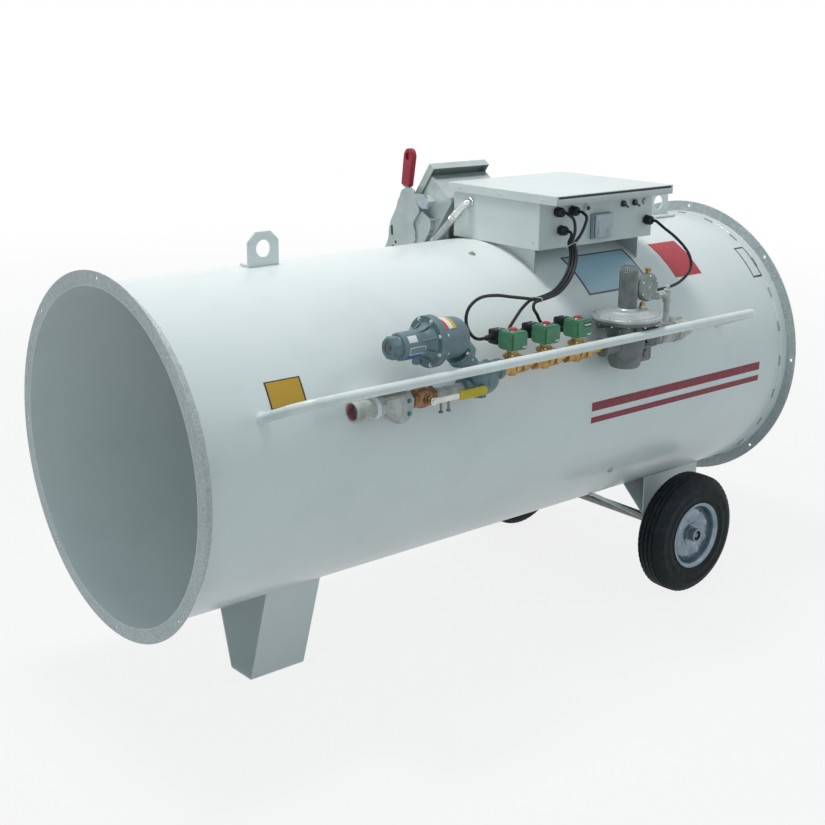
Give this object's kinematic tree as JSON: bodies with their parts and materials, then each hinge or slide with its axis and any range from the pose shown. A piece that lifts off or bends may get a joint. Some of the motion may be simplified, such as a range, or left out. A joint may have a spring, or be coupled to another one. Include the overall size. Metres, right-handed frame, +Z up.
{
  "type": "direct fired heater",
  "caption": "Portable direct gas-fired air heater: a horizontal round duct with fan and burner inside, gas train and guard rail on one side, control box on top, two wheels and a front leg.",
  "frame": {"origin": "middle of the front foot's underside, on the ground under the duct's axis", "axes": "+X along the duct from the outlet to the air inlet, +Z up, the gas train on the -Y side"},
  "size_m": [2.337, 1.0967, 1.4638],
  "materials": {
    "duct_white": "gloss powder coat",
    "galvanised": "galvanised, mottled",
    "axle_steel": "oiled steel",
    "zinc_wheel": "zinc plated",
    "tyre_rubber": "matt",
    "fitting_white": "painted casting",
    "brass": "cast brass",
    "lever_yellow": "vinyl sleeve",
    "regulator_grey": "blue grey enamel",
    "coil_green": "green enamel",
    "plug_black": "moulded",
    "low_regulator_dark": "bare casting",
    "low_regulator_light": "die cast",
    "switch_grey": "zinc plated",
    "burner_iron": "heat darkened",
    "burner_sheet": "heat tinted sheet",
    "ceramic": "glazed",
    "fan_alloy": "cast",
    "motor_grey": "enamel",
    "box_white": "powder coat",
    "chrome": "plated",
    "socket_grey": "die cast",
    "disconnect_grey": "galvanised and painted",
    "grip_red": "moulded grip",
    "cable_black": "cable sheath"
  },
  "bodies": {
    "heater_frame": {"shell": "duct_white", "outlet_ring": "galvanised", "inlet_ring": "galvanised", "lifting_lug_front": "duct_white", "lifting_lug_rear": "duct_white", "front_leg": "duct_white", "axle": "axle_steel", "axle_bracket_gas_side": "duct_white", "axle_bracket_switch_side": "duct_white", "wheel_clip_gas_side": "axle_steel", "wheel_clip_switch_side": "axle_steel", "guard_rail": "duct_white", "rail_bracket": "duct_white", "gas_inlet": "fitting_white", "gas_strainer": "fitting_white", "ball_valve_body": "brass", "regulator_body": "regulator_grey", "regulator_case": "regulator_grey", "valve_body_1": "brass", "valve_body_2": "brass", "valve_body_3": "brass", "valve_coil_1": "coil_green", "valve_coil_2": "coil_green", "valve_coil_3": "coil_green", "valve_plug_1": "plug_black", "valve_plug_2": "plug_black", "valve_plug_3": "plug_black", "low_regulator_body": "low_regulator_dark", "low_regulator_cover": "low_regulator_light", "gas_outlet": "fitting_white", "pressure_switch": "switch_grey", "burner_manifold": "burner_iron", "burner_cone": "burner_sheet", "igniter": "ceramic", "flame_rod": "ceramic", "fan_motor": "motor_grey", "motor_pedestal": "galvanised", "fan_shroud": "galvanised", "fan_guard": "galvanised", "control_box": "box_white", "control_box_lid": "box_white", "receptacle": "socket_grey", "disconnect_box": "disconnect_grey", "conduit": "galvanised", "valve_cable_1": "cable_black", "valve_cable_2": "cable_black", "valve_cable_3": "cable_black", "switch_cable": "cable_black"},
    "gas_side_wheel": {"rim_gas_side": "zinc_wheel", "tyre_gas_side": "tyre_rubber"},
    "switch_side_wheel": {"rim_switch_side": "zinc_wheel", "tyre_switch_side": "tyre_rubber"},
    "fan": {"fan_rotor": "fan_alloy"},
    "supply_lever": {"ball_valve_lever": "lever_yellow"},
    "power_lever": {"disconnect_lever": "grip_red"},
    "fuse_door": {"disconnect_door": "disconnect_grey"},
    "reset_button": {"push_button": "plug_black"},
    "toggle_one": {"toggle_lever_1": "chrome"},
    "toggle_two": {"toggle_lever_2": "chrome"},
    "socket_flap": {"receptacle_flap": "socket_grey"}
  },
  "joints": [
    {"name": "gas_side_wheel_spin", "type": "hinge", "parent": "heater_frame", "child": "gas_side_wheel", "pos_m": [1.42, -0.408, 0.203], "axis": [0, 1, 0], "continuous": true},
    {"name": "switch_side_wheel_spin", "type": "hinge", "parent": "heater_frame", "child": "switch_side_wheel", "pos_m": [1.42, 0.408, 0.203], "axis": [0, 1, 0], "continuous": true},
    {"name": "fan_spin", "type": "hinge", "parent": "heater_frame", "child": "fan", "pos_m": [1.53, 0, 0.746], "axis": [1, 0, 0], "continuous": true},
    {"name": "supply_lever_turn", "type": "hinge", "parent": "heater_frame", "child": "supply_lever", "pos_m": [0.1635, -0.5555, 0.912], "axis": [0, 1, 0], "range_deg": [0, 90]},
    {"name": "power_lever_throw", "type": "hinge", "parent": "heater_frame", "child": "power_lever", "pos_m": [0.785, 0.21088, 1.22533], "axis": [-1, 0, 0], "range_deg": [0, 65]},
    {"name": "fuse_door_swing", "type": "hinge", "parent": "heater_frame", "child": "fuse_door", "pos_m": [1.0404, 0.26509, 1.30473], "axis": [0, 0.5821, -0.8131], "range_deg": [0, 110]},
    {"name": "reset_button_press", "type": "slide", "parent": "heater_frame", "child": "reset_button", "axis": [0, 1, 0], "range_m": [0, 0.003], "stiffness_N_per_m": 300, "springref_m": -0.002},
    {"name": "toggle_one_flip", "type": "hinge", "parent": "heater_frame", "child": "toggle_one", "pos_m": [1.166, -0.2898, 1.315], "axis": [-1, 0, 0], "range_deg": [0, 50]},
    {"name": "toggle_two_flip", "type": "hinge", "parent": "heater_frame", "child": "toggle_two", "pos_m": [1.218, -0.2898, 1.315], "axis": [-1, 0, 0], "range_deg": [0, 50]},
    {"name": "socket_flap_lift", "type": "hinge", "parent": "heater_frame", "child": "socket_flap", "pos_m": [1.022, -0.3021, 1.2915], "axis": [-1, 0, 0], "range_deg": [0, 110]}
  ]
}
